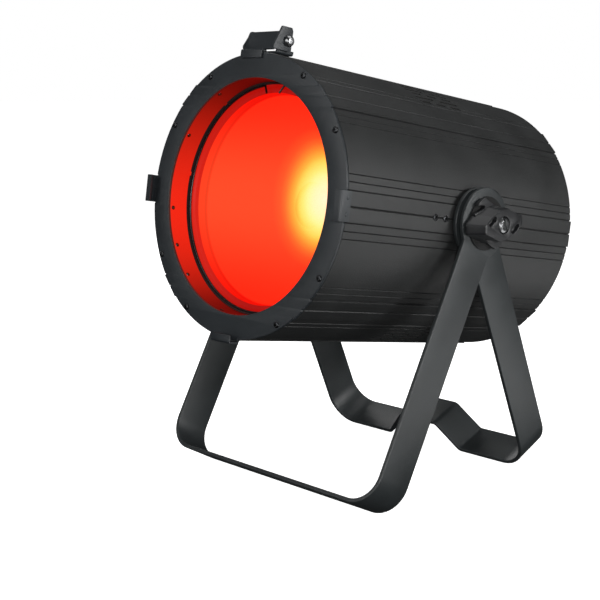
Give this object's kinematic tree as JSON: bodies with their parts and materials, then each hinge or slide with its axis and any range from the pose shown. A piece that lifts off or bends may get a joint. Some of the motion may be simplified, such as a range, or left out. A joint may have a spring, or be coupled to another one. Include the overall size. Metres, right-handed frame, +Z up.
{
  "type": "par can light",
  "caption": "LED par can: ribbed round barrel with a recessed swappable lens and frame clips, tilting between two clamped U yokes that stand on the floor or hang.",
  "frame": {"origin": "on the floor, under the middle of the bounding box, with the lantern standing on the crossbars of its two yokes", "axes": "+Z up; -Y the way the lens faces, before its tilt of 8.65 degrees upwards; +X along the yokes' tilt axis, to the lantern's left as it shines"},
  "size_m": [0.332, 0.3786, 0.435],
  "materials": {
    "barrel_black": "black powder coat, fine texture",
    "ring_slate": "slate black powder coat",
    "yoke_black": "black powder coat",
    "knob_plastic": "moulded black nylon",
    "bright_steel": "zinc plated",
    "dark_steel": "black oxide",
    "fibre": "matt black",
    "sleeve_silver": "satin",
    "lens_clear": "frosted",
    "reflector_silver": "polished",
    "led_yellow": "phosphor yellow",
    "heatsink_grey": "bare",
    "moulded_black": "moulded",
    "circuit_green": "solder mask",
    "galvanised": "galvanised",
    "supply_case": "galvanised skin",
    "display_glass": "gloss",
    "button_grey": "matt",
    "socket_blue": "moulded",
    "socket_white": "moulded"
  },
  "bodies": {
    "housing": {"barrel_shell": "barrel_black", "rear_cover": "barrel_black", "front_ring": "ring_slate", "accessory_clip_left": "ring_slate", "accessory_clip_right": "ring_slate", "accessory_clip_bottom": "ring_slate", "latch_bracket": "ring_slate", "ring_screw_1": "dark_steel", "ring_screw_2": "dark_steel", "ring_screw_3": "dark_steel", "ring_screw_4": "dark_steel", "ring_screw_5": "dark_steel", "ring_screw_6": "dark_steel", "ring_screw_7": "dark_steel", "ring_screw_8": "dark_steel", "groove_screw_left_1": "dark_steel", "groove_screw_left_2": "dark_steel", "groove_screw_right_1": "dark_steel", "groove_screw_right_2": "dark_steel", "data_inlet": "dark_steel", "data_outlet": "dark_steel", "latch_bolt": "bright_steel", "latch_spring": "bright_steel", "pivot_stud_left": "bright_steel", "pivot_stud_right": "bright_steel", "safety_eye": "bright_steel", "front_sleeve": "sleeve_silver", "reflector": "reflector_silver", "led_module": "led_yellow", "heatsink": "heatsink_grey", "fan_frame": "moulded_black", "fuse_holder": "moulded_black", "chassis_plate": "galvanised", "power_supply": "supply_case", "control_board": "circuit_green", "display_window": "display_glass", "power_inlet": "socket_blue", "power_outlet": "socket_white", "pivot_pad_left": "fibre", "pivot_pad_right": "fibre"},
    "front_yoke": {"front_yoke": "yoke_black"},
    "rear_yoke": {"rear_yoke": "yoke_black", "yoke_washer_left": "fibre", "yoke_washer_right": "fibre"},
    "washer_left": {"clamp_washer_left": "fibre"},
    "washer_right": {"clamp_washer_right": "fibre"},
    "knob_left": {"knob_left": "knob_plastic", "knob_nut_left": "bright_steel"},
    "knob_right": {"knob_right": "knob_plastic", "knob_nut_right": "bright_steel"},
    "latch_gate": {"latch_gate": "ring_slate"},
    "lens_cartridge": {"lens": "lens_clear", "lens_carrier": "sleeve_silver", "retaining_wire": "dark_steel"},
    "fan_rotor": {"fan_rotor": "moulded_black"},
    "fuse_cap": {"fuse_cap": "moulded_black"},
    "menu_button_1": {"menu_button_1": "button_grey"},
    "menu_button_2": {"menu_button_2": "button_grey"},
    "menu_button_3": {"menu_button_3": "button_grey"},
    "menu_button_4": {"menu_button_4": "button_grey"}
  },
  "joints": [
    {"name": "front_yoke_tilt", "type": "hinge", "parent": "housing", "child": "front_yoke", "pos_m": [0, 0.01159, 0.25748], "axis": [1, 0, 0], "range_deg": [-150, 51]},
    {"name": "rear_yoke_tilt", "type": "hinge", "parent": "housing", "child": "rear_yoke", "pos_m": [0, 0.01159, 0.25748], "axis": [1, 0, 0], "range_deg": [-51, 157]},
    {"name": "clamp_right_travel", "type": "slide", "parent": "housing", "child": "washer_right", "axis": [1, 0, 0], "range_m": [0, 0.00175]},
    {"name": "knob_right_turn", "type": "hinge", "parent": "washer_right", "child": "knob_right", "pos_m": [0, 0.01159, 0.25748], "axis": [1, 0, 0], "range_deg": [0, 360]},
    {"name": "clamp_left_travel", "type": "slide", "parent": "housing", "child": "washer_left", "axis": [-1, 0, 0], "range_m": [0, 0.00175]},
    {"name": "knob_left_turn", "type": "hinge", "parent": "washer_left", "child": "knob_left", "pos_m": [0, 0.01159, 0.25748], "axis": [-1, 0, 0], "range_deg": [0, 360]},
    {"name": "latch_lift", "type": "hinge", "parent": "housing", "child": "latch_gate", "pos_m": [0, -0.12276, 0.42155], "axis": [-1, 0, 0], "range_deg": [0, 75], "stiffness_Nm_per_rad": 0.03, "springref_deg": -28.65},
    {"name": "lens_out", "type": "slide", "parent": "housing", "child": "lens_cartridge", "axis": [0, -0.9886, 0.1504], "range_m": [0, 0.06]},
    {"name": "fan_spin", "type": "hinge", "parent": "housing", "child": "fan_rotor", "pos_m": [0, 0.02049, 0.25612], "axis": [0, -0.9886, 0.1504], "continuous": true},
    {"name": "fuse_cap_turn", "type": "hinge", "parent": "housing", "child": "fuse_cap", "pos_m": [0, 0.15651, 0.18283], "axis": [0, 0.9886, -0.1504], "range_deg": [-60, 0]},
    {"name": "menu_button_1_press", "type": "slide", "parent": "housing", "child": "menu_button_1", "axis": [0, -0.9886, 0.1504], "range_m": [0, 0.001], "stiffness_N_per_m": 400, "springref_m": -0.001},
    {"name": "menu_button_2_press", "type": "slide", "parent": "housing", "child": "menu_button_2", "axis": [0, -0.9886, 0.1504], "range_m": [0, 0.001], "stiffness_N_per_m": 400, "springref_m": -0.001},
    {"name": "menu_button_3_press", "type": "slide", "parent": "housing", "child": "menu_button_3", "axis": [0, -0.9886, 0.1504], "range_m": [0, 0.001], "stiffness_N_per_m": 400, "springref_m": -0.001},
    {"name": "menu_button_4_press", "type": "slide", "parent": "housing", "child": "menu_button_4", "axis": [0, -0.9886, 0.1504], "range_m": [0, 0.001], "stiffness_N_per_m": 400, "springref_m": -0.001}
  ],
  "couplings": [
    {"joint": "knob_right_turn", "follows": "clamp_right_travel", "rad_per_m": 3590.4},
    {"joint": "knob_left_turn", "follows": "clamp_left_travel", "rad_per_m": 3590.4}
  ]
}
